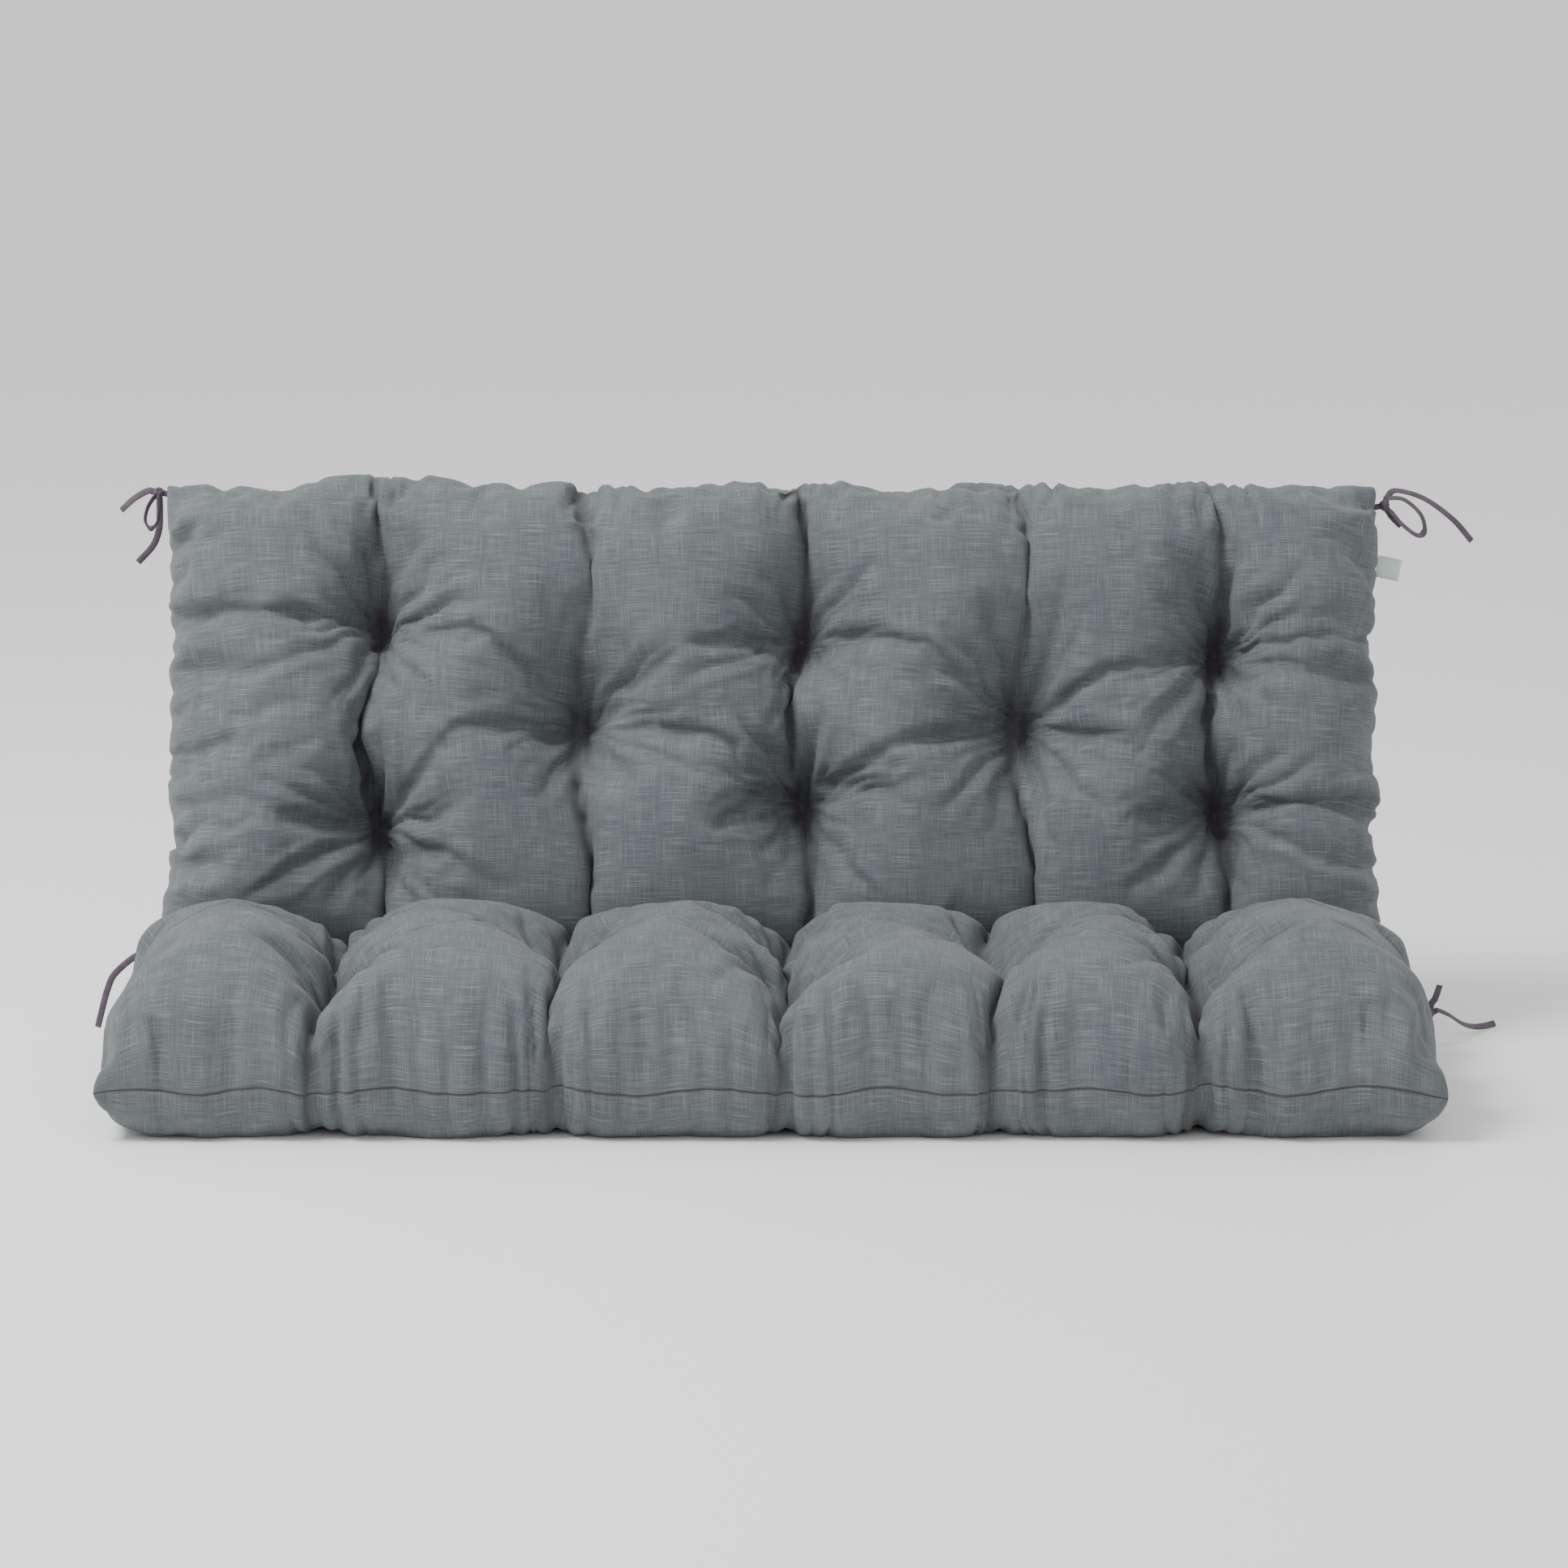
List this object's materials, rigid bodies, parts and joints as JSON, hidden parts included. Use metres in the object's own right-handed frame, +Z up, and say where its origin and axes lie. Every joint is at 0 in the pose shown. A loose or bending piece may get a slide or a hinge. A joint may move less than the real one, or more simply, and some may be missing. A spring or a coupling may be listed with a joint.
{
  "type": "bench cushion",
  "caption": "Tufted seat pad with a backrest pad sewn to its rear edge at a cloth fold, with knotted tape ties, for a garden bench or porch swing.",
  "frame": {"origin": "middle of the seat pad's flat underside", "axes": "+X along the width to the right seen from the front, -Y towards the front, +Z up"},
  "size_m": [1.6798, 0.7001, 0.6503],
  "materials": {
    "cover_fabric": "matte",
    "filling": "matte",
    "thread": "matte",
    "tie_tape": "matte",
    "label_fabric": "satin"
  },
  "bodies": {
    "seat": {"seat_top_cover": "cover_fabric", "seat_bottom_cover": "cover_fabric", "seat_filling": "filling", "seat_tuft_thread_1": "thread", "seat_tuft_thread_2": "thread", "seat_tuft_thread_3": "thread", "seat_tuft_thread_4": "thread", "seat_tuft_thread_5": "thread", "seat_tuft_thread_6": "thread", "seat_tuft_thread_7": "thread", "seat_tuft_thread_8": "thread", "fold_seam": "cover_fabric", "tie_low_right_knot": "tie_tape", "tie_low_right_root": "tie_tape", "tie_low_right_cut_end": "tie_tape", "tie_low_right_tail": "tie_tape"},
    "backrest": {"back_front_cover": "cover_fabric", "back_rear_cover": "cover_fabric", "back_filling": "filling", "back_tuft_thread_1": "thread", "back_tuft_thread_2": "thread", "back_tuft_thread_3": "thread", "back_tuft_thread_4": "thread", "back_tuft_thread_5": "thread", "back_tuft_thread_6": "thread", "back_tuft_thread_7": "thread", "back_tuft_thread_8": "thread", "side_label": "label_fabric", "tie_top_left_knot": "tie_tape", "tie_top_left_tail_a": "tie_tape", "tie_top_left_loop": "tie_tape", "tie_top_left_tail_b": "tie_tape", "tie_top_right_knot": "tie_tape", "tie_top_right_loop": "tie_tape", "tie_top_right_tail": "tie_tape", "tie_top_right_cut_end": "tie_tape", "tie_low_left_knot": "tie_tape", "tie_low_left_tail": "tie_tape", "tie_low_left_cut_end": "tie_tape"}
  },
  "joints": [
    {"name": "back_fold", "type": "hinge", "parent": "seat", "child": "backrest", "pos_m": [0, 0.25, 0.056], "axis": [1, 0, 0], "range_deg": [-75, 20]}
  ]
}
